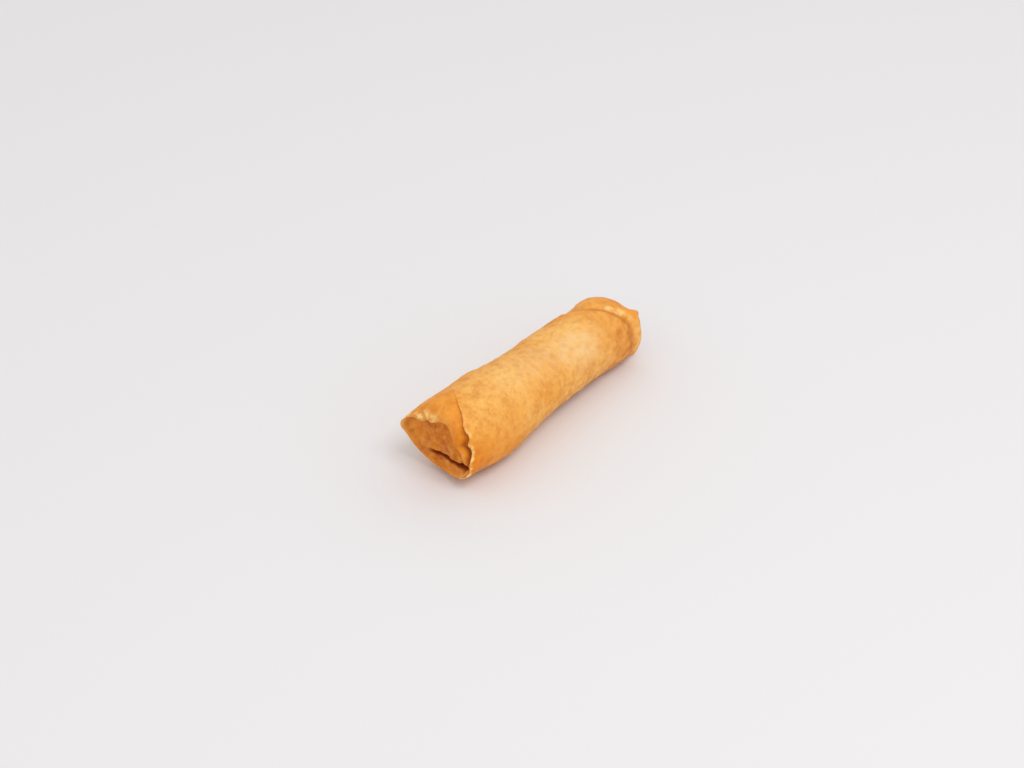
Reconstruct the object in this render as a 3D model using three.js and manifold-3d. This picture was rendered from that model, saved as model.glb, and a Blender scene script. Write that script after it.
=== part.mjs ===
// Fried spring roll: a square wrapper rolled corner to corner, its side corners tucked in, then fried.
// Millimetres, +Z up. The roll lies along X, its open pinched end towards -X and its slimmer end towards +X.
// The origin is the middle of the roll on the table it lies on. The high corner of the open end stands out
// a little beyond ROLL_LENGTH.
// Angles run round the roll in degrees: 0 faces -Y, 90 is the top, 180 faces +Y and 270 is the underside.
import * as THREE from 'three';
import { mergeVertices } from 'three/addons/utils/BufferGeometryUtils.js';
import Module from 'manifold-3d';

// Driving sizes.
const ROLL_LENGTH = 104;
const OPEN_END_RADIUS = 15.7;
const SLIM_END_RADIUS = 13.6;
const WRAPPER = 0.9;
const UNDERSIDE_PRESS = 0.45;
const CREASE_WIDTH = 0.9;
const WRAPPER_SINK = 0.3;
const RAW_EDGE_INSET = 0.7;
const TIP_HALF_WIDTH = 0.8;
const HALF = ROLL_LENGTH / 2;
const TAPER_FROM = -0.36 * ROLL_LENGTH;
const TAPER_TO = 0.12 * ROLL_LENGTH;

// Mesh fineness.
const STEPS_ROUND = 72;
const STEPS_ALONG_TURN = 72;
const STEPS_ACROSS_TURN = 18;
const EDGE_CROWDING = 1.7;

const radians = (degrees) => (degrees * Math.PI) / 180;
const clamp = (value, low, high) => Math.min(high, Math.max(low, value));
const mix = (from, to, share) => from + (to - from) * share;

function smooth(from, to, value) {
  const t = clamp((value - from) / (to - from), 0, 1);
  return t * t * (3 - 2 * t);
}

function hump(angle, centre, width) {
  const turned = ((angle - centre + 540) % 360 + 360) % 360 - 180;
  return Math.exp(-((turned / width) ** 2));
}

const ridge = (value, centre, width) => Math.exp(-(((value - centre) / width) ** 2));

// The same angle between -110 and 250, so that the front and the top are in one stretch.
const upright = (angle) => ((angle + 110) % 360 + 360) % 360 - 110;

// The open end: a lens-shaped mouth, its left corner high and its right corner low and forward. Each end is
// an oval with dents pushed in or drawn out at some angles, and a face that lies setback behind the very end.
const openEnd = {
  side: -1,
  centreY: 1.6,
  centreZ: 14.6,
  semiMajor: 14.5,
  semiMinor: 11.2,
  tilt: -18,
  frill: 0.3,
  dents: [
    { angle: 104, width: 30, depth: -2.3 },
    { angle: 130, width: 13, depth: -2.0 },
    { angle: 67, width: 15, depth: 1.7 },
    { angle: 23, width: 24, depth: -3.2 },
    { angle: -5, width: 9, depth: -1.2 },
  ],
  setback(y, z) {
    const overhang = 3.2 * (1 - smooth(2, 23, z)) * smooth(-12, 2, y);
    const corner = 1.4 * smooth(11, 15, y) * smooth(12, 18, z);
    const notch = 1.6 * ridge(z, 10.6, 1.3) * smooth(-7, -11, y);
    return overhang - corner + notch;
  },
  shoulder: (angle) => 5 + 9 * hump(angle, 270, 55) + 2 * hump(angle, 90, 40),
  keel: (angle) => hump(angle, 270, 60),
  creaseZ: (y) => 10.1 - 0.8 * smooth(-9, -3, y),
  creaseDepth: (y) => 2.4 * smooth(8, 2, y),
  panelDepth(y, z) {
    const underTop = 1.6 * smooth(12, 21, z);
    const underRight = 1.8 * smooth(-2, -8, y) * smooth(12.5, 16, z);
    return 0.7 + 0.6 * smooth(13, -4, y) + underTop + underRight;
  },
};

// The slim end: flatter, drooping from above, with one pointed corner of a fold standing out.
const slimEnd = {
  side: 1,
  centreY: 0,
  centreZ: 10.7,
  semiMajor: 11.1,
  semiMinor: 9.1,
  tilt: 4,
  frill: 0.1,
  dents: [
    { angle: 40, width: 7, depth: 2.4 },
    { angle: 26, width: 9, depth: 0.9 },
    { angle: 60, width: 13, depth: -0.8 },
    { angle: -42, width: 24, depth: 3.9 },
  ],
  setback(y, z) {
    const droop = 1.2 * smooth(12, 22, z) * smooth(-9, -4, y);
    const rounding = 3.4 * smooth(8, 1, z) * smooth(-4, -9, y);
    return droop + rounding;
  },
  shoulder: (angle) => 5 + 7 * hump(angle, 100, 55) + 4 * hump(angle, 270, 40),
  keel: () => 0.6,
  creaseZ: (y) => 9.2 + 0.1 * y,
  creaseDepth: (y) => 2.0 * smooth(-9, 2, y),
  panelDepth: (y, z) => 0.9 + 1.6 * smooth(-9, 7, y) + 0.8 * smooth(12, 19, z),
};

function bodyRadius(x) {
  return mix(OPEN_END_RADIUS, SLIM_END_RADIUS, smooth(TAPER_FROM, TAPER_TO, x));
}

function axisHeight(x) {
  return bodyRadius(x) - WRAPPER - UNDERSIDE_PRESS;
}

// Slow bulges of a hand-rolled body, none of them on the underside.
function bulge(x, angle) {
  const slow = 0.28 * Math.sin(0.09 * x + 1.4 + Math.sin(radians(angle)));
  const oval = 0.22 * Math.cos(radians(2 * angle - 50) + 0.05 * x);
  const flare = 1.1 * hump(angle, 150, 45) * (1 - smooth(-46, -28, x));
  const hollow = -0.9 * hump(angle, 135, 40) * ridge(x, -10, 16);
  const lowBulge = 1.5 * ridge(x, -27, 13) + 1.0 * ridge(x, 45, 14);
  const lowHollow = 0.7 * ridge(x, 8, 20) + 0.9 * ridge(x, -46, 7);
  const belly = hump(angle, -38, 38) * (lowBulge - lowHollow);
  const nipped = -1.5 * hump(angle, 8, 30) * (1 - smooth(-50, -38, x));
  const upperSide = (slow + oval + flare + hollow) * (1 - hump(angle, 270, 50));
  return upperSide + belly + nipped + slimCollar(x, angle);
}

// The inner roll's collar at the slim end: a groove at the last turn's edge and a swell beyond it.
function slimCollar(x, angle) {
  const turn = upright(angle);
  const pastEdge = x - slimRawEdge(turn);
  const groove = -0.5 * ridge(pastEdge, 0.3, 1.3);
  const swell = mix(0.7, -0.3, smooth(45, 105, turn)) * smooth(0.5, 4, pastEdge);
  return (groove + swell) * smooth(-50, -20, turn) * (1 - smooth(150, 200, turn));
}

// The edge where the outside turns into the tucked face of an end.
function mouthEdge(end, angle) {
  const turned = radians(angle - end.tilt);
  let reach = 1 / Math.hypot(Math.cos(turned) / end.semiMajor, Math.sin(turned) / end.semiMinor);
  for (const dent of end.dents) {
    reach += dent.depth * hump(angle, dent.angle, dent.width);
  }
  reach += end.frill * Math.sin(radians(14 * angle)) * hump(angle, 110, 35);
  const y = end.centreY - reach * Math.cos(radians(angle));
  const z = end.centreZ + reach * Math.sin(radians(angle));
  return new THREE.Vector3(end.side * (HALF - end.setback(y, z)), y, z);
}

// How far a wall point is drawn towards the mouth: 0 on the plain body, 1 at the mouth's edge.
function pinch(end, x, angle) {
  const inward = Math.abs(mouthEdge(end, angle).x - x);
  const near = clamp(1 - inward / end.shoulder(angle), 0, 1);
  const rounded = 1 - Math.sqrt(1 - near * near);
  return mix(rounded, near * near, end.keel(angle));
}

function bodyPoint(x, angle) {
  const radius = bodyRadius(x) - WRAPPER + bulge(x, angle);
  const y = -radius * Math.cos(radians(angle));
  const z = axisHeight(x) + radius * Math.sin(radians(angle));
  return new THREE.Vector3(x, y, z);
}

function drawnToMouth(point, end, angle, share) {
  const edge = mouthEdge(end, angle);
  point.y = mix(point.y, edge.y, share);
  point.z = mix(point.z, edge.z, share);
  return point;
}

// A point on the outside of the inner roll.
function wallPoint(x, angle) {
  const end = x < 0 ? openEnd : slimEnd;
  return drawnToMouth(bodyPoint(x, angle), end, angle, pinch(end, x, angle));
}

// A point on the tucked-in face of an end: a panel folded behind the lips and a crease over the lower lip.
function facePoint(end, share, angle) {
  const edge = mouthEdge(end, angle);
  const y = mix(end.centreY, edge.y, share);
  const z = mix(end.centreZ, edge.z, share);
  const insideLip = 1 - smooth(0.8, 1, share);
  const upper = end.panelDepth(y, z) * insideLip;
  const lower = 0.8 * insideLip;
  const overCrease = z - end.creaseZ(y);
  const crease = end.creaseDepth(y) * ridge(overCrease, 0, CREASE_WIDTH) * (1 - smooth(0.93, 1, share));
  const depth = mix(lower, upper, smooth(-CREASE_WIDTH, CREASE_WIDTH, overCrease)) + crease;
  return new THREE.Vector3(end.side * (HALF - end.setback(y, z) - depth), y, z);
}

// Profile of the inner roll before shaping: across one face, along the outside and back across the other.
// In it the radius is the share of the way out to the wall and the height is the share along the roll.
function innerRollProfile() {
  const faceShares = [0, 0.18, 0.34, 0.48, 0.6, 0.7, 0.79, 0.86, 0.92, 0.97];
  const shoulderShares = [1, 0.995, 0.985, 0.965, 0.935, 0.9, 0.86, 0.81, 0.75];
  const middleShares = [0.6, 0.45, 0.3, 0.15];
  const half = [...shoulderShares, ...middleShares];
  const profile = faceShares.map((share) => new THREE.Vector2(share, -1));
  half.forEach((share) => profile.push(new THREE.Vector2(1, -share)));
  profile.push(new THREE.Vector2(1, 0));
  [...half].reverse().forEach((share) => profile.push(new THREE.Vector2(1, share)));
  [...faceShares].reverse().forEach((share) => profile.push(new THREE.Vector2(share, 1)));
  return profile;
}

function innerRollPoint(share, along, angle) {
  if (share < 0.999) {
    return facePoint(along < 0 ? openEnd : slimEnd, share, angle);
  }
  const from = mouthEdge(openEnd, angle).x;
  const to = mouthEdge(slimEnd, angle).x;
  return wallPoint(mix(from, to, (along + 1) / 2), angle);
}

function reshape(geometry, place) {
  const position = geometry.getAttribute('position');
  for (let i = 0; i < position.count; i += 1) {
    const moved = place(position.getX(i), position.getY(i), position.getZ(i));
    position.setXYZ(i, moved.x, moved.y, moved.z);
  }
  geometry.deleteAttribute('normal');
  geometry.deleteAttribute('uv');
  return mergeVertices(geometry, 1e-4);
}

function innerRoll() {
  const geometry = new THREE.LatheGeometry(innerRollProfile(), STEPS_ROUND);
  return reshape(geometry, (across, along, side) => {
    const share = Math.hypot(across, side);
    const angle = (Math.atan2(side, across) * 180) / Math.PI;
    return innerRollPoint(share, along, angle);
  });
}

// The last turn of the wrapper. Its angle runs on past a full circle: it leaves the roll low at the back,
// passes underneath, up the front and over the top, and ends in a pointed corner under the back.
const TURN_START = -140;
const TURN_TIP = 250;

// Distance from the open end to the raw edge of the last turn, plus the small scallops of that edge.
function openRawEdge(turn) {
  const drift = 0.0775 * Math.max(0, turn - 42) ** 1.22;
  const scallop = 0.35 * Math.sin(radians(5 * turn)) + 0.25 * Math.sin(radians(11 * turn + 40));
  const uneven = 1.2 * hump(turn, 34, 28) + scallop * smooth(-30, 10, turn) * (1 - smooth(200, 250, turn));
  const tab = 0.9 * hump(turn, 26, 7);
  const rawEdge = 1.2 - HALF + drift + uneven - tab;
  const insideMouth = Math.max(rawEdge, mouthEdge(openEnd, turn).x + RAW_EDGE_INSET);
  return mix(rawEdge, insideMouth, smooth(-45, -70, turn));
}

function slimRawEdge(turn) {
  const drift = 0.00289 * Math.max(0, turn + 38) ** 1.707;
  const scallop = 0.3 * Math.sin(radians(6 * turn + 80)) * (1 - smooth(200, 250, turn));
  const squared = 1.2 * hump(turn, 27, 20);
  const lowPart = 1.3 * (1 - smooth(5, 45, turn));
  const rawEdge = 0.9 * HALF - drift + scallop + squared - lowPart;
  return Math.min(rawEdge, mouthEdge(slimEnd, turn).x - RAW_EDGE_INSET);
}

// The height of the last turn's outer face over the inner roll: it dives under at its start and presses
// down at its edges, except where the edge stands off the lip of the open end.
function turnHeight(turn, pastOpenEdge, beforeSlimEdge) {
  const plain = mix(-0.8 * WRAPPER, WRAPPER, smooth(-100, -12, turn));
  const slimPress = 0.6 * ridge(beforeSlimEdge, 0, 1.6) * smooth(-30, 10, turn);
  const openPress = 0.7 * ridge(pastOpenEdge, 0, 5) * smooth(65, 115, turn);
  const standOff = 0.5 * ridge(pastOpenEdge, 0, 1.8) * hump(turn, 25, 30);
  return plain - slimPress - openPress + standOff;
}

// How far the last turn stands off the pinched open end: 0 is tight, 1 is straight on.
function looseness(turn) {
  return 0.3 * smooth(-60, 0, turn) + 0.25 * smooth(30, 70, turn);
}

function lastTurnPoint(across, depth, turn) {
  const openEdge = openRawEdge(turn);
  const slimEdge = slimRawEdge(turn);
  const halfWidth = Math.max((slimEdge - openEdge) / 2, TIP_HALF_WIDTH);
  const crowded = Math.sign(across) * (1 - (1 - Math.abs(across)) ** EDGE_CROWDING);
  const x = (openEdge + slimEdge) / 2 + crowded * halfWidth;
  const end = x < 0 ? openEnd : slimEnd;
  const share = pinch(end, x, turn) * (end.side < 0 ? 1 - looseness(turn) : 1);
  const point = drawnToMouth(bodyPoint(x, turn), end, turn, share);
  const height = turnHeight(turn, x - openEdge, slimEdge - x) - depth;
  point.y -= height * Math.cos(radians(turn));
  point.z += height * Math.sin(radians(turn));
  return point;
}

function lastTurn() {
  const geometry = new THREE.BoxGeometry(2, 1, 1, STEPS_ACROSS_TURN, 1, STEPS_ALONG_TURN);
  return reshape(geometry, (across, up, back) => {
    const turn = mix(TURN_TIP, TURN_START, back + 0.5);
    const depth = (0.5 - up) * (WRAPPER + WRAPPER_SINK);
    return lastTurnPoint(across, depth, turn);
  });
}

function solidOf(wasm, geometry) {
  const index = geometry.getIndex().array;
  const corners = [];
  for (let i = 0; i < index.length; i += 3) {
    const [a, b, c] = [index[i], index[i + 1], index[i + 2]];
    if (a !== b && b !== c && c !== a) corners.push(a, b, c);
  }
  const mesh = new wasm.Mesh({
    numProp: 3,
    vertProperties: new Float32Array(geometry.getAttribute('position').array),
    triVerts: new Uint32Array(corners),
  });
  return new wasm.Manifold(mesh);
}

function geometryOf(solid) {
  const mesh = solid.getMesh();
  const geometry = new THREE.BufferGeometry();
  geometry.setAttribute('position', new THREE.BufferAttribute(new Float32Array(mesh.vertProperties), 3));
  geometry.setIndex(new THREE.BufferAttribute(new Uint32Array(mesh.triVerts), 1));
  geometry.computeVertexNormals();
  return geometry;
}

// Everything below the table plane is pressed flat.
function tableCut(wasm) {
  const size = 2 * ROLL_LENGTH;
  const block = new THREE.BoxGeometry(size, size, size);
  block.translate(0, 0, -size / 2);
  block.deleteAttribute('normal');
  block.deleteAttribute('uv');
  return solidOf(wasm, mergeVertices(block));
}

async function springRoll() {
  const wasm = await Module();
  wasm.setup();
  const rolled = solidOf(wasm, innerRoll()).add(solidOf(wasm, lastTurn()));
  const pressed = rolled.subtract(tableCut(wasm));
  const crust = new THREE.MeshStandardMaterial({ color: 0xe0a052, roughness: 0.62, metalness: 0 });
  const mesh = new THREE.Mesh(geometryOf(pressed), crust);
  mesh.name = 'spring_roll';
  return mesh;
}

const group = new THREE.Group();
group.name = 'fried_spring_roll';
group.add(await springRoll());

export default group;
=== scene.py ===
"""Looks of the fried spring roll: its inner roll with two tucked ends, and the last turn of its wrapper.

Shapes are worked out in millimetres and turned into metres when a mesh is made. Angles run round the roll
in degrees: 0 faces -Y, 90 is the top, 180 faces +Y and 270 is the underside.
"""
import math

import bpy
import numpy as np
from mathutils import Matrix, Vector


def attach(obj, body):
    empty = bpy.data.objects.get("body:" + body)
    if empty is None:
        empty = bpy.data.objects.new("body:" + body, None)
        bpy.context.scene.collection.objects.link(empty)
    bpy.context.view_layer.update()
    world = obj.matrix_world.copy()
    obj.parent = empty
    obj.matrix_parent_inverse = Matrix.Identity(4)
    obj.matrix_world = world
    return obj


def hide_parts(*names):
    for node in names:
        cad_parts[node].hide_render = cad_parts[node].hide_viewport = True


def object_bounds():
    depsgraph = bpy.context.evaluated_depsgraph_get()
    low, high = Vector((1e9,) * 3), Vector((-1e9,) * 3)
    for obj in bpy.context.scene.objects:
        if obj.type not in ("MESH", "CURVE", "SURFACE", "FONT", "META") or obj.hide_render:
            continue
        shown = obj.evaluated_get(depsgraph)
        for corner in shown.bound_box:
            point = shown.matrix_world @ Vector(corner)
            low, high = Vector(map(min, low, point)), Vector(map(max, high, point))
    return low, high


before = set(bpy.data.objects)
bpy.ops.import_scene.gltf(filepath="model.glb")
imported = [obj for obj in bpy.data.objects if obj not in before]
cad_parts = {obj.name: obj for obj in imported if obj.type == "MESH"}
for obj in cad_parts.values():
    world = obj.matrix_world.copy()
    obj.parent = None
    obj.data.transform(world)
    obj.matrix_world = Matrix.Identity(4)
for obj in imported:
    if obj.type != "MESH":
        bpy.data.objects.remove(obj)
cad_low, cad_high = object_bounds()

# Driving sizes in millimetres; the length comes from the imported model.
MM = 0.001
HALF = cad_high[0] / MM
ROLL_LENGTH = 2 * HALF
OPEN_END_RADIUS = 15.7
SLIM_END_RADIUS = 13.6
WRAPPER = 0.9
UNDERSIDE_PRESS = 0.45
TAPER_FROM = -0.36 * ROLL_LENGTH
TAPER_TO = 0.12 * ROLL_LENGTH
INNER_ROLL_LOWEST = 0.25
RIM_TO_RAW_EDGE = 0.7
FRAY = 0.4

# The angles where the last turn starts, hidden under itself, and where its tip ends under the back.
TURN_START = -140
TURN_TIP = 250

# Points in the meshes.
AROUND = 360
FACE_ROWS = 60
SHOULDER_ROWS = 44
BODY_ROWS = 60
TURN_POINTS = 560
TURN_ROWS = 230
NOSE_ROWS = 9


# Soft steps and fades.

def mix(start, end, share):
    return start + (end - start) * share


def smooth(start, end, value):
    """0 at start and 1 at end, with a soft step between them; start may be the larger of the two."""
    t = np.clip((value - start) / (end - start), 0, 1)
    return t * t * (3 - 2 * t)


def hump(angle, centre, width):
    """1 at the centre angle, fading out on both sides of it round the roll."""
    turned = (angle - centre + 540) % 360 - 180
    return np.exp(-((turned / width) ** 2))


def ridge(value, centre, width):
    """1 at the centre, fading out on both sides of it."""
    return np.exp(-(((value - centre) / width) ** 2))


def wave(angle, count, phase=0):
    """A sine with so many waves in a full turn."""
    return np.sin(np.radians(count * angle + phase))


def upright(angle):
    """The same angle between -110 and 250, so that the front and the top are in one stretch."""
    return (angle + 110) % 360 - 110


def outward_of(angle):
    """The Y and Z of the direction out of the roll."""
    return -np.cos(np.radians(angle)), np.sin(np.radians(angle))


# The two ends. The rim of each is a tilted ellipse with dents: (angle, width in degrees, how far out).
# Setback is the rim's distance from the roll's end, and shoulder is how far before the rim the pinch starts.
# Keel is 1 where the pinch comes in evenly and 0 where it rounds over. The rest is for the tucked-in face.

class OpenEnd:
    """A lens-shaped mouth, its left corner high and its right corner low and forward."""
    side = -1
    centre_y = 1.6
    centre_z = 14.6
    semi_major = 14.5
    semi_minor = 11.2
    tilt = -18
    frill = 0.3
    dents = [(104, 30, -2.3), (130, 13, -2.0), (67, 15, 1.7), (23, 24, -3.2), (-5, 9, -1.2)]

    @staticmethod
    def crease_z(y):
        return 10.1 - 0.8 * smooth(-9, -3, y)

    @staticmethod
    def setback(y, z):
        overhang = 3.2 * (1 - smooth(2, 23, z)) * smooth(-12, 2, y)
        corner = 1.4 * smooth(11, 15, y) * smooth(12, 18, z)
        notch = 1.6 * ridge(z, 10.6, 1.3) * smooth(-7, -11, y)
        return overhang - corner + notch

    @staticmethod
    def shoulder(angle):
        return 5 + 9 * hump(angle, 270, 55) + 2 * hump(angle, 90, 40)

    @staticmethod
    def keel(angle):
        return hump(angle, 270, 60)

    @staticmethod
    def crease_depth(y):
        return 2.4 * smooth(8, 2, y)

    @staticmethod
    def panel_depth(y, z):
        under_top = 1.6 * smooth(12, 21, z)
        under_right = 1.8 * smooth(-2, -8, y) * smooth(12.5, 16, z)
        return 0.7 + 0.6 * smooth(13, -4, y) + under_top + under_right


class SlimEnd:
    """A flatter end, drooping from above, with one pointed corner of a fold standing out."""
    side = 1
    centre_y = 0
    centre_z = 10.7
    semi_major = 11.1
    semi_minor = 9.1
    tilt = 4
    frill = 0.1
    dents = [(40, 7, 2.4), (26, 9, 0.9), (60, 13, -0.8), (-42, 24, 3.9)]

    @staticmethod
    def crease_z(y):
        return 9.2 + 0.1 * y

    @staticmethod
    def setback(y, z):
        droop = 1.2 * smooth(12, 22, z) * smooth(-9, -4, y)
        rounding = 3.4 * smooth(8, 1, z) * smooth(-4, -9, y)
        return droop + rounding

    @staticmethod
    def shoulder(angle):
        return 5 + 7 * hump(angle, 100, 55) + 4 * hump(angle, 270, 40)

    @staticmethod
    def keel(angle):
        return np.full(np.shape(angle), 0.6)

    @staticmethod
    def crease_depth(y):
        return 2.0 * smooth(-9, 2, y)

    @staticmethod
    def panel_depth(y, z):
        return 0.9 + 1.6 * smooth(-9, 7, y) + 0.8 * smooth(12, 19, z)


# Lumps and wrinkles.

LATTICE_SIZE = 32
LATTICE = np.random.default_rng(7).random((LATTICE_SIZE, LATTICE_SIZE, LATTICE_SIZE))
SEED_SHIFT = 7.31


def lumps(points, size, seed):
    """Smooth random values from -1 to 1 that change over about size millimetres."""
    where = points / size + seed * SEED_SHIFT
    base = np.floor(where).astype(int)
    part = where - base
    part = part * part * (3 - 2 * part)
    total = np.zeros(len(points))
    for corner in np.ndindex(2, 2, 2):
        index = (base + corner) % LATTICE_SIZE
        weight = np.prod(np.where(corner, part, 1 - part), axis=1)
        total += weight * LATTICE[index[:, 0], index[:, 1], index[:, 2]]
    return 2 * total - 1


def relief(points, seed):
    """Uneven skin of a fried wrapper, in millimetres: soft lumps, small blisters and a fine grain."""
    soft = 0.24 * lumps(points, 13, seed)
    middle = 0.13 * lumps(points, 4.5, seed + 1)
    blister = 0.26 * smooth(0.35, 0.9, lumps(points, 2.3, seed + 2))
    grain = 0.06 * lumps(points, 0.8, seed + 3)
    return soft + middle + blister + grain


# The last turn's raw edges.

def spiral_drift(turn, leaves_end, rate, power):
    """How far a raw edge has run along the roll, past the angle where it leaves the roll's end."""
    return rate * np.maximum(0, turn - leaves_end) ** power


def open_raw_edge(turn):
    """Where the last turn's raw edge lies along the roll at the open end, with its scallops and a tab."""
    drift = spiral_drift(turn, leaves_end=42, rate=0.0775, power=1.22)
    scallop = 0.35 * wave(turn, 5) + 0.25 * wave(turn, 11, 40)
    scalloped = scallop * smooth(-30, 10, turn) * (1 - smooth(200, 250, turn))
    uneven = 1.2 * hump(turn, 34, 28) + scalloped
    tab = 0.9 * hump(turn, 26, 7)
    inset = 1.2
    raw = inset - HALF + drift + uneven - tab
    inside_mouth = np.maximum(raw, mouth_edge(OpenEnd, turn)[0] + RIM_TO_RAW_EDGE)
    return mix(raw, inside_mouth, smooth(-45, -70, turn))


def slim_raw_edge(turn):
    """Where the last turn's raw edge lies along the roll at the slim end."""
    drift = spiral_drift(turn, leaves_end=-38, rate=0.00289, power=1.707)
    scallop = 0.3 * wave(turn, 6, 80) * (1 - smooth(200, 250, turn))
    squared = 1.2 * hump(turn, 27, 20)
    low_part = 1.3 * (1 - smooth(5, 45, turn))
    raw = 0.9 * HALF - drift + scallop + squared - low_part
    return np.minimum(raw, mouth_edge(SlimEnd, turn)[0] - RIM_TO_RAW_EDGE)


# The shape of the roll.

def body_radius(x):
    return mix(OPEN_END_RADIUS, SLIM_END_RADIUS, smooth(TAPER_FROM, TAPER_TO, x))


def axis_height(x):
    return body_radius(x) - WRAPPER - UNDERSIDE_PRESS


def bulge(x, angle):
    """Slow bulges and hollows of a hand-rolled body, which fade out on the underside."""
    slow = 0.28 * np.sin(0.09 * x + 1.4 + np.sin(np.radians(angle)))
    oval = 0.22 * np.cos(np.radians(2 * angle - 50) + 0.05 * x)
    flare = 1.1 * hump(angle, 150, 45) * (1 - smooth(-46, -28, x))
    hollow = -0.9 * hump(angle, 135, 40) * ridge(x, -10, 16)
    low_bulge = 1.5 * ridge(x, -27, 13) + 1.0 * ridge(x, 45, 14)
    low_hollow = 0.7 * ridge(x, 8, 20) + 0.9 * ridge(x, -46, 7)
    belly = hump(angle, -38, 38) * (low_bulge - low_hollow)
    nipped = -1.5 * hump(angle, 8, 30) * (1 - smooth(-50, -38, x))
    upper_side = (slow + oval + flare + hollow) * (1 - hump(angle, 270, 50))
    return upper_side + belly + nipped + slim_collar(x, angle)


def slim_collar(x, angle):
    """The inner roll's collar at the slim end: a groove at the last turn's edge and a swell beyond it."""
    turn = upright(angle)
    past_edge = x - slim_raw_edge(turn)
    groove = -0.5 * ridge(past_edge, 0.3, 1.3)
    swell = mix(0.7, -0.3, smooth(45, 105, turn)) * smooth(0.5, 4, past_edge)
    return (groove + swell) * smooth(-50, -20, turn) * (1 - smooth(150, 200, turn))


def mouth_edge(end, angle):
    """The rim round an end's tucked-in face."""
    turned = np.radians(angle - end.tilt)
    reach = 1 / np.hypot(np.cos(turned) / end.semi_major, np.sin(turned) / end.semi_minor)
    for centre, width, depth in end.dents:
        reach = reach + depth * hump(angle, centre, width)
    reach = reach + end.frill * wave(angle, 14) * hump(angle, 110, 35)
    out_y, out_z = outward_of(angle)
    y = end.centre_y + reach * out_y
    z = end.centre_z + reach * out_z
    return end.side * (HALF - end.setback(y, z)), y, z


def pinch(end, x, angle):
    """How far a wall point is drawn towards the mouth: 0 on the plain body, 1 at the mouth's edge."""
    inward = np.abs(mouth_edge(end, angle)[0] - x)
    near = np.clip(1 - inward / end.shoulder(angle), 0, 1)
    rounded = 1 - np.sqrt(1 - near * near)
    return mix(rounded, near * near, end.keel(angle))


def body_point(x, angle):
    """Points on the plain body, before its ends are pinched."""
    radius = body_radius(x) - WRAPPER + bulge(x, angle)
    out_y, out_z = outward_of(angle)
    return radius * out_y, axis_height(x) + radius * out_z


def wall(x, angle, loose=0.0):
    """Points on the inner roll's outside; loose keeps the last turn from following the open end's pinch."""
    y, z = body_point(x, angle)
    for end, here, follow in ((OpenEnd, x < 0, 1 - loose), (SlimEnd, x >= 0, 1.0)):
        share = np.where(here, pinch(end, x, angle), 0) * follow
        edge = mouth_edge(end, angle)
        y = mix(y, edge[1], share)
        z = mix(z, edge[2], share)
    return y, z


def face(end, share, angle):
    """Points on the tucked-in face of an end: a panel behind the lips and a crease over the lower lip."""
    edge = mouth_edge(end, angle)
    y = mix(end.centre_y, edge[1], share)
    z = mix(end.centre_z, edge[2], share)
    inside_lip = 1 - smooth(0.86, 1, share)
    upper = end.panel_depth(y, z) * inside_lip
    lower = 0.8 * inside_lip
    over_crease = z - end.crease_z(y)
    half_slit = 0.5
    slit = np.exp(-((over_crease / half_slit) ** 4))
    crease = end.crease_depth(y) * slit * (1 - smooth(0.95, 1, share))
    depth = mix(lower, upper, smooth(-half_slit, half_slit, over_crease)) + crease
    return end.side * (HALF - end.setback(y, z) - depth), y, z


# Meshes.

def add_mesh(name, points, faces, looks):
    """A smooth-shaded piece; looks has one dictionary of values for each row of points."""
    mesh = bpy.data.meshes.new(name)
    mesh.from_pydata((points * MM).tolist(), [], faces)
    mesh.polygons.foreach_set("use_smooth", [True] * len(mesh.polygons))
    for look in looks[0]:
        values = np.clip(np.concatenate([row[look] for row in looks]), 0, 1)
        mesh.attributes.new(look, "FLOAT", "POINT").data.foreach_set("value", values)
    mesh.update()
    piece = bpy.data.objects.new(name, mesh)
    bpy.context.collection.objects.link(piece)
    return piece


def grid_faces(rows, columns, closed_round):
    """Quads over rows of points, facing out when rows run towards +X and columns run with the angle."""
    steps = columns if closed_round else columns - 1
    row, step = np.meshgrid(np.arange(rows - 1), np.arange(steps), indexing="ij")
    a = (row * columns + step).ravel()
    b = (row * columns + (step + 1) % columns).ravel()
    return np.stack([a, a + columns, b + columns, b], axis=1).tolist()


def roughened(x, y, z, angle, strength):
    """Moves wall points in or out by the skin's relief, but not on the flat underside."""
    points = np.stack([x, y, z], axis=1)
    amount = relief(points, 1) * strength * (1 - hump(angle, 270, 40))
    out_y, out_z = outward_of(angle)
    return np.stack([x, y + amount * out_y, z + amount * out_z], axis=1)


def face_row(end, share, angles):
    """One ring of points on an end's face, crumpled inside the lips."""
    x, y, z = face(end, share, angles)
    points = np.stack([x, y, z], axis=1)
    inner = 1 - smooth(0.8, 1, share)
    points[:, 0] += (0.8 * lumps(points, 3.4, 11) + 0.4 * lumps(points, 1.4, 12)) * inner
    return points


def face_shares():
    """Places from the middle of a face to just inside its rim, as shares."""
    return np.linspace(0.02, 1, FACE_ROWS)[:-1] ** 0.9


def wall_shares():
    """Places from one end of the roll to the other, as shares, closer together near the ends."""
    close_stretch = 16
    stretch = 46
    close = np.linspace(0, 1, SHOULDER_ROWS)[:-1] ** 1.5 * close_stretch
    half = np.concatenate([close, np.linspace(close_stretch, stretch, BODY_ROWS)]) / ROLL_LENGTH
    return np.concatenate([half, 1 - half[::-1]])


def wall_strength(share, past_mouth, angles):
    """How rough the wall is: it fades out at the two rims and is crumpled on the open end's upper lip."""
    crumpled = 1.8 * ridge(past_mouth, 2.5, 2) * hump(angles, 115, 35)
    return (smooth(0, 0.03, share) + crumpled) * smooth(0, 0.03, 1 - share)


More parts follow.
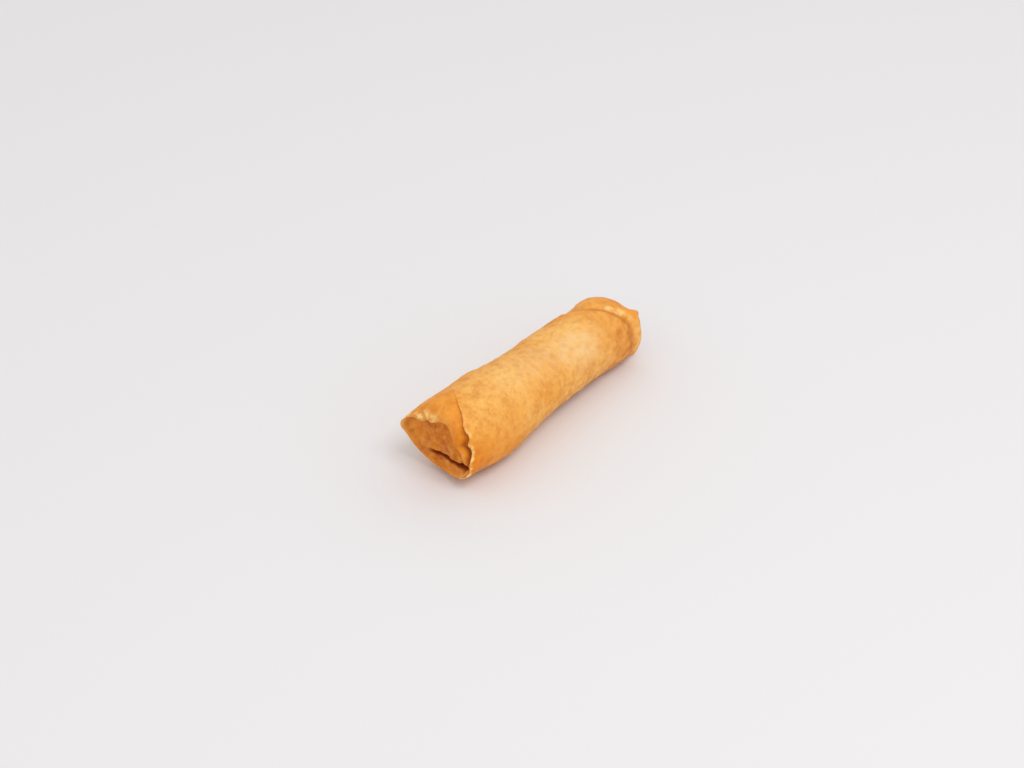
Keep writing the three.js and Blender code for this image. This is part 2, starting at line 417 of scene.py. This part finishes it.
def open_face_looks(share, angles, y, z):
    """A brown panel, with painted shade in the crease under it, behind the upper lip and in its left corner.
    """
    left_lip = smooth(0.8, 0.92, share) * hump(angles, 190, 40)
    below_crease = 1 - smooth(-0.5, 0.5, z - OpenEnd.crease_z(y))
    low_lip = below_crease * mix(-0.2, 0.45, smooth(-5, 4, y))
    crease_width = 0.85 + 0.5 * smooth(-6, -11, y)
    # Painted shade in the crease over the lower lip.
    in_crease = ridge(z, OpenEnd.crease_z(y) - 0.25, crease_width) * smooth(9, 3, y)
    # Painted shade cast by the upper lip on the panel behind it.
    under_lip = 0.65 * ridge(share, 0.88, 0.06) * hump(angles, 75, 85)
    # Painted shade in the mouth's left corner.
    left_nook = 0.75 * ridge(share, 0.88, 0.07) * hump(angles, 143, 8)
    return {
        "amber": np.full(AROUND, 0.75),
        "brown_and_shade": mix(0.38, 0.2, np.maximum(smooth(0.9, 1, share), left_lip)) + low_lip,
        # Cream crisp rim of the upper lip, with a painted highlight where the fold catches the light.
        "pale_and_highlight": smooth(0.9, 0.98, share) * hump(angles, 128, 40),
        "painted_shade": np.maximum(in_crease, np.maximum(under_lip, left_nook)),
        "tucked": np.full(AROUND, 1 - smooth(0.8, 0.95, share)),
    }


def slim_face_looks(share, y, z):
    """A plainer panel with painted shade along its one crease."""
    return {
        "amber": np.full(AROUND, 0.35),
        "brown_and_shade": np.full(AROUND, 0.65),
        "pale_and_highlight": np.zeros(AROUND),
        # Painted shade along the slim face's crease.
        "painted_shade": ridge(z, SlimEnd.crease_z(y), 0.75) * smooth(-9, 0, y),
        "tucked": np.full(AROUND, 1 - smooth(0.8, 0.95, share)),
    }


def wall_looks(x, past_mouth, angles, y, z):
    """Amber at the open end, cream rims with painted highlights on the upper lip, the tongue's tip, the slim
    end's collar and side strip, and painted shade in the slit and beside the last turn's raw edges.
    """
    turn = upright(angles)
    mouth = 1 - smooth(0.5, 3.5, past_mouth)
    off_upper_lip = 1 - hump(angles, 25, 45)
    strip = 0.5 + 0.45 * hump(angles, 22, 48)
    corner = 0.3 * hump(angles, 42, 12) * smooth(44, 49, x)
    # rim is the upper lip's cream crisp edge with a painted highlight on the lit fold; lip_rim is a painted
    # highlight round the tongue's tip; collar and side_strip are painted highlights on the slim end's lit
    # collar and side strip.
    rim = 1.1 * (1 - smooth(0.3, 2.4, past_mouth)) * hump(angles, 125, 42)
    lip_rim = 0.35 * (1 - smooth(0.2, 0.8, past_mouth)) * hump(angles, 0, 14)
    collar = 1.1 * hump(angles, 60, 26) * ridge(x - slim_raw_edge(turn), 2.3, 1.4)
    side_strip = 0.55 * hump(angles, -8, 34) * smooth(44.5, 47.5, x)
    # Painted shade: slit is the crease's dark line running onto the wall, under_turn is mostly shade in the
    # gap under the open end's raw edge with a little browning, groove is shade at the slim end's raw edge.
    slit = 0.8 * ridge(z, OpenEnd.crease_z(y) + 0.3, 1.1) * mouth * (y < -6)
    under_turn = 0.85 * ridge(x - open_raw_edge(turn), 0, 0.9) * hump(angles, 14, 36)
    groove = 0.5 * ridge(x - slim_raw_edge(turn), 0.4, 0.9) * hump(angles, 60, 75)
    return {
        "amber": np.where(x < 0, strip, 0.4 + corner),
        "brown_and_shade": mouth * mix(0.25, 0.6, hump(angles, 260, 60)) * off_upper_lip,
        "pale_and_highlight": rim + lip_rim + collar + side_strip,
        "painted_shade": np.maximum(slit, under_turn) + groove,
        "tucked": np.zeros(AROUND),
    }


def inner_roll():
    """The roll under the last turn: the open end's face, the wall and the slim end's face."""
    angles = np.arange(AROUND) * 360 / AROUND
    start = mouth_edge(OpenEnd, angles)[0]
    stop = mouth_edge(SlimEnd, angles)[0]
    rows = []
    looks = []
    for share in face_shares():
        points = face_row(OpenEnd, share, angles)
        rows.append(points)
        looks.append(open_face_looks(share, angles, points[:, 1], points[:, 2]))
    for share in wall_shares():
        x = mix(start, stop, share)
        y, z = wall(x, angles)
        rows.append(roughened(x, y, z, angles, wall_strength(share, x - start, angles)))
        looks.append(wall_looks(x, x - start, angles, y, z))
    for share in face_shares()[::-1]:
        points = face_row(SlimEnd, share, angles)
        rows.append(points)
        looks.append(slim_face_looks(share, points[:, 1], points[:, 2]))
    points = np.concatenate(rows)
    points[:, 2] = np.maximum(points[:, 2], INNER_ROLL_LOWEST)
    faces = grid_faces(len(rows), AROUND, True)
    faces.append(tuple(range(AROUND)))
    faces.append(tuple(reversed(range(len(points) - AROUND, len(points)))))
    return add_mesh("inner_roll", points, faces, looks)


def turn_height(turn):
    """The height of the last turn's outside over the inner roll: sunk in where it starts, then proud."""
    return mix(-0.8 * WRAPPER, WRAPPER, smooth(-100, -12, turn))


def looseness(turn):
    """How far the last turn stands off the pinched open end: 0 is tight, 1 is straight on."""
    return 0.3 * smooth(-60, 0, turn) + 0.25 * smooth(30, 70, turn)


def turn_columns():
    """The last turn's cross-section from edge to edge: inset from the raw edge, share across and height."""
    bend = np.radians(np.linspace(-90, 90, NOSE_ROWS))
    nose = [(WRAPPER / 2 * (1 - math.cos(b)), WRAPPER / 2 * (1 + math.sin(b))) for b in bend]
    underneath = (4.0, 2.6, 1.4)
    columns = [(inset, 0, 0.0) for inset in underneath]
    columns += [(inset, 0, up) for inset, up in nose]
    columns += [(WRAPPER / 2, share, WRAPPER) for share in np.linspace(0, 1, TURN_ROWS)[1:-1]]
    columns += [(inset, 1, up) for inset, up in reversed(nose)]
    columns += [(inset, 1, 0.0) for inset in reversed(underneath)]
    return columns


def frayed_edges(turns):
    """Both raw edges of the last turn, frayed where they show."""
    step_along_edge = 0.26
    walk = np.stack([turns * step_along_edge, turns * 0, turns * 0], axis=1)
    showing = smooth(-50, -25, turns) * smooth(250, 235, turns)
    fray = (FRAY * lumps(walk, 2.4, 21) + FRAY / 2 * lumps(walk, 0.9, 22)) * showing
    return open_raw_edge(turns) + fray, slim_raw_edge(turns) + 0.5 * fray[::-1]


def lift(turns, up, from_open, from_slim):
    """How far the last turn's points stand off the inner roll, pressed down or curled up near its edges."""
    height = turn_height(turns) - WRAPPER + up
    height = height - 0.6 * ridge(from_slim, 0, 1.6) * smooth(-30, 10, turns)
    height = height - 0.7 * ridge(from_open, 0, 5) * smooth(65, 115, turns)
    height = height + 0.5 * ridge(from_open, 0, 1.8) * hump(turns, 25, 30)
    sunk = 0.25
    return np.where(up > 0, height, height - sunk)


def turn_looks(x, turns, up, from_open, from_slim):
    """Cream raw edges, browner and painted shade low down, browner at the far end, and a painted highlight
    on the upper front.
    """
    open_rim = (1 - smooth(0.3, 1.2, from_open)) * (up > 0) * mix(1, 0.3, smooth(15, 60, turns))
    slim_rim = 0.2 * (1 - smooth(0.2, 0.8, from_slim))
    low_front = 0.75 * hump(turns, -10, 45) * (1 - smooth(-52, -15, x))
    far_amber = 0.25 * smooth(15, 40, x) * hump(turns, 10, 50)
    near_edge = 0.25 * (1 - smooth(0, 6, from_open))
    far_side = 0.42 * smooth(20, 40, x) * hump(turns, 5, 42)
    # low_side: the crust is browner along the underside, and this also paints the shade where the roll meets
    # the floor.
    low_side = mix(0.45, 0.85, smooth(-10, 15, x)) * hump(turns, -50, 23)
    round_rim = 0.35 * hump(turns, 5, 40) + 0.25 * hump(turns, 85, 30)
    far_rim = (1 - smooth(0.3, 4.5, from_slim)) * round_rim
    # Painted highlight: a paler patch on the upper front, far and in the middle, where the light's sheen
    # falls.
    far_shine = 0.85 * hump(turns, 44, 27) * ridge(x, 17, 10)
    middle_shine = 0.5 * hump(turns, 68, 30) * ridge(x, -2, 26)
    return {
        "amber": 0.1 + low_front + far_amber + near_edge,
        "brown_and_shade": far_side + low_side + far_rim,
        "pale_and_highlight": open_rim + slim_rim,
        "painted_highlight": far_shine + middle_shine,
    }


def sheet_faces(rows, columns):
    """Quads over a sheet's cross-sections, closed by a cap at each end and a strip along the underneath."""
    faces = grid_faces(rows, columns, False)
    first = np.arange(rows) * columns
    faces.append(tuple(first.tolist()))
    faces.append(tuple((first[::-1] + columns - 1).tolist()))
    under = np.arange(columns - 1)
    base = (rows - 1) * columns
    faces += np.stack([base + under, under, under + 1, base + under + 1], axis=1).tolist()
    return faces


def last_turn():
    """The last turn of the wrapper, as a closed sheet with rounded raw edges."""
    turns = np.linspace(TURN_START, TURN_TIP, TURN_POINTS)
    open_edge, slim_edge = frayed_edges(turns)
    middle = (open_edge + slim_edge) / 2
    half_width = np.maximum((slim_edge - open_edge) / 2, 0.8)
    out_y, out_z = outward_of(turns)
    rows = []
    looks = []
    for inset, share, up in turn_columns():
        inset = np.minimum(inset, half_width)
        x = mix(middle - half_width + inset, middle + half_width - inset, share)
        y, z = wall(x, turns, looseness(turns))
        height = lift(turns, up, x - open_edge, slim_edge - x)
        rows.append(roughened(x, y + height * out_y, z + height * out_z, turns, 1.0))
        looks.append(turn_looks(x, turns, up, x - open_edge, slim_edge - x))
    points = np.concatenate(rows)
    points[:, 2] = np.maximum(points[:, 2], 0)
    return add_mesh("last_turn", points, sheet_faces(len(rows), TURN_POINTS), looks)


# Materials.

class Nodes:
    """Short calls for the few kinds of node that the materials use."""

    def __init__(self, name):
        self.material = bpy.data.materials.new(name)
        self.material.use_nodes = True
        self.tree = self.material.node_tree
        self.shader = self.tree.nodes["Principled BSDF"]
        self.place = self.tree.nodes.new("ShaderNodeTexCoord").outputs["Object"]

    def link(self, output, socket):
        self.tree.links.new(output, socket)

    def noise(self, size_mm, detail=2.0, roughness=0.5):
        node = self.tree.nodes.new("ShaderNodeTexNoise")
        node.inputs["Scale"].default_value = 1 / (size_mm * MM)
        node.inputs["Detail"].default_value = detail
        node.inputs["Roughness"].default_value = roughness
        self.link(self.place, node.inputs["Vector"])
        return node.outputs["Fac"]

    def attribute(self, name):
        node = self.tree.nodes.new("ShaderNodeAttribute")
        node.attribute_name = name
        return node.outputs["Fac"]

    def spread(self, value, low, high, to_low=0.0, to_high=1.0):
        node = self.tree.nodes.new("ShaderNodeMapRange")
        node.inputs["From Min"].default_value = low
        node.inputs["From Max"].default_value = high
        node.inputs["To Min"].default_value = to_low
        node.inputs["To Max"].default_value = to_high
        self.link(value, node.inputs["Value"])
        return node.outputs["Result"]

    def times(self, first, second):
        node = self.tree.nodes.new("ShaderNodeMath")
        node.operation = "MULTIPLY"
        for value, socket in zip((first, second), node.inputs):
            if isinstance(value, (int, float)):
                socket.default_value = value
            else:
                self.link(value, socket)
        return node.outputs["Value"]

    def blend(self, share, first, second):
        node = self.tree.nodes.new("ShaderNodeMix")
        node.data_type = "RGBA"
        self.link(share, node.inputs["Factor"])
        # Inputs 6 and 7 and output 2 are this node's colours.
        for value, socket in ((first, node.inputs[6]), (second, node.inputs[7])):
            if isinstance(value, tuple):
                socket.default_value = (*value, 1)
            else:
                self.link(value, socket)
        return node.outputs[2]

    def tinted(self, colour, look, patches, tint):
        """The colour with a tint laid over it where a look says, broken up into patches."""
        return self.blend(self.times(self.attribute(look), patches), colour, tint)

    def bump(self, height, distance_mm, strength, normal=None):
        node = self.tree.nodes.new("ShaderNodeBump")
        node.inputs["Strength"].default_value = strength
        node.inputs["Distance"].default_value = distance_mm * MM
        self.link(height, node.inputs["Height"])
        if normal is not None:
            self.link(normal, node.inputs["Normal"])
        return node.outputs["Normal"]


def linear(red, green, blue):
    """A screen colour of 0 to 255 as the linear colour that a shader takes."""
    def one(value):
        value = value / 255
        return value / 12.92 if value <= 0.04045 else ((value + 0.055) / 1.055) ** 2.4
    return one(red), one(green), one(blue)


GOLD_LIGHT = linear(250, 196, 108)
GOLD = linear(240, 168, 70)
GOLD_DEEP = linear(206, 122, 34)
AMBER = linear(238, 140, 4)
AMBER_DEEP = linear(220, 115, 4)
BROWN = linear(188, 94, 8)
# Cream colour of the raw edges, also used for the painted highlights on lit rims.
PALE_AND_HIGHLIGHT = linear(253, 209, 130)
TUCKED_LIGHT = linear(232, 152, 66)
TUCKED_RED = linear(178, 74, 18)
# Colour of the painted highlight on the upper front.
PAINTED_HIGHLIGHT = linear(242, 200, 140)
# Dark colour of the painted shade in creases, gaps and under lips.
PAINTED_SHADE_COLOUR = linear(132, 48, 4)
FLOOR = (0.80, 0.785, 0.79)


def golden(n):
    """The plain outside: gold, mottled and speckled deeper, with lighter flecks."""
    colour = n.blend(n.spread(n.noise(22, 3), 0.35, 0.65), GOLD, GOLD_LIGHT)
    mottle = n.spread(n.noise(5.5, 4, 0.6), 0.44, 0.7)
    colour = n.blend(n.times(mottle, 0.65), colour, GOLD_DEEP)
    speckle = n.spread(n.noise(2.2, 4, 0.6), 0.45, 0.66)
    colour = n.blend(n.times(speckle, 0.5), colour, GOLD_DEEP)
    flecks = n.spread(n.noise(3.2, 4, 0.65), 0.5, 0.68)
    return n.blend(n.times(flecks, 0.5), colour, GOLD_LIGHT)


def with_fried_tones(n, colour):
    """Amber where the roll is oily, and brown where it is crisp and where painted shade lies along the
    underside by the floor.
    """
    amber_tone = n.blend(n.spread(n.noise(3.6, 3, 0.6), 0.4, 0.65), AMBER, AMBER_DEEP)
    colour = n.tinted(colour, "amber", n.spread(n.noise(7, 2), 0.3, 0.7, 0.8, 1.0), amber_tone)
    wide_patches = n.spread(n.noise(9, 2), 0.4, 0.6, 0.7, 1.3)
    small_patches = n.spread(n.noise(2.8, 4, 0.65), 0.35, 0.65, 0.5, 1.45)
    # Brown tones, which include the painted shade along the underside.
    brown_and_shade = n.times(n.attribute("brown_and_shade"), n.times(wide_patches, small_patches))
    return n.blend(n.spread(brown_and_shade, 0, 1.2, 0, 0.85), colour, BROWN)


def with_marks(n, colour):
    """The mottled tucked panels, cream edges with painted highlights on lit rims, a painted highlight on top
    and painted shade in creases and gaps.
    """
    light_spots = n.spread(n.noise(2.6, 3, 0.6), 0.45, 0.65, 0.0, 0.8)
    colour = n.tinted(colour, "tucked", light_spots, TUCKED_LIGHT)
    red_spots = n.spread(n.noise(4.4, 3, 0.6), 0.48, 0.7, 0.0, 0.65)
    colour = n.tinted(colour, "tucked", red_spots, TUCKED_RED)
    # Cream raw edges and painted highlights on lit rims, broken into patches.
    pale_and_highlight_spots = n.spread(n.noise(2.6, 3, 0.6), 0.42, 0.56, 0.1, 1.0)
    colour = n.tinted(colour, "pale_and_highlight", pale_and_highlight_spots, PALE_AND_HIGHLIGHT)
    # Painted highlight on the upper front, broken into patches.
    painted_highlight_spots = n.spread(n.noise(3.4, 3, 0.6), 0.35, 0.65, 0.45, 1.1)
    colour = n.tinted(colour, "painted_highlight", painted_highlight_spots, PAINTED_HIGHLIGHT)
    # Painted shade in creases, gaps and under lips.
    return n.blend(n.attribute("painted_shade"), colour, PAINTED_SHADE_COLOUR)


def fried_wrapper():
    """The one material of the roll: its tones, a soft sheen and a fine grain."""
    n = Nodes("fried_wrapper")
    colour = with_marks(n, with_fried_tones(n, golden(n)))
    n.link(colour, n.shader.inputs["Base Color"])
    n.link(n.spread(n.noise(6, 3), 0.3, 0.7, 0.42, 0.62), n.shader.inputs["Roughness"])
    n.shader.inputs["Specular IOR Level"].default_value = 0.14
    coarse = n.bump(n.noise(2.4, 2, 0.5), 0.4, 0.6)
    fine = n.bump(n.noise(0.8, 2, 0.5), 0.14, 0.45, coarse)
    n.link(fine, n.shader.inputs["Normal"])
    return n.material


def floor_material():
    n = Nodes("pale_floor")
    n.shader.inputs["Base Color"].default_value = (*FLOOR, 1)
    n.shader.inputs["Roughness"].default_value = 0.7
    return n.material


# Stage. Places here are in metres, and azimuths and elevations in degrees.

CAMERA_AZIMUTH = -52.5
CAMERA_ELEVATION = 35.5
CAMERA_DISTANCE = 0.7756
CAMERA_LENS = 75
SENSOR_WIDTH = 36
AIM = Vector((0.0087, 0.0151, 0))
FLOOR_SIZE = 6
WORLD_STRENGTH = 0.8


def outward(azimuth, elevation):
    """The direction from the roll towards a camera or a light."""
    a = math.radians(azimuth)
    e = math.radians(elevation)
    return Vector((math.sin(a) * math.cos(e), -math.cos(a) * math.cos(e), math.sin(e)))


def add_camera():
    camera = bpy.data.objects.new("camera", bpy.data.cameras.new("camera"))
    camera.data.lens = CAMERA_LENS
    camera.data.sensor_width = SENSOR_WIDTH
    back = outward(CAMERA_AZIMUTH, CAMERA_ELEVATION)
    camera.location = AIM + back * CAMERA_DISTANCE
    camera.rotation_euler = back.to_track_quat("Z", "Y").to_euler()
    bpy.context.collection.objects.link(camera)
    bpy.context.scene.camera = camera


def add_light(name, azimuth, elevation, distance, size, power):
    light = bpy.data.objects.new(name, bpy.data.lights.new(name, "AREA"))
    light.data.size = size
    light.data.energy = power
    back = outward(azimuth, elevation)
    light.location = back * distance
    light.rotation_euler = back.to_track_quat("Z", "Y").to_euler()
    bpy.context.collection.objects.link(light)


def add_floor():
    bpy.ops.mesh.primitive_plane_add(size=FLOOR_SIZE, location=(0, 0, 0))
    floor = bpy.context.object
    floor.name = "floor"
    floor.data.materials.append(floor_material())


def add_world():
    world = bpy.data.worlds.new("studio")
    world.use_nodes = True
    background = world.node_tree.nodes["Background"]
    background.inputs["Color"].default_value = (1, 1, 1, 1)
    background.inputs["Strength"].default_value = WORLD_STRENGTH
    bpy.context.scene.world = world


def main():
    wrapper = fried_wrapper()
    pieces = [inner_roll(), last_turn()]
    for piece in pieces:
        piece.data.materials.append(wrapper)
        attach(piece, "root")
        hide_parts("spring_roll")
    add_camera()
    add_floor()
    add_world()
    add_light("key", azimuth=-12, elevation=60, distance=1.4, size=0.6, power=6)
    bpy.context.scene.view_settings.view_transform = "Standard"


main()
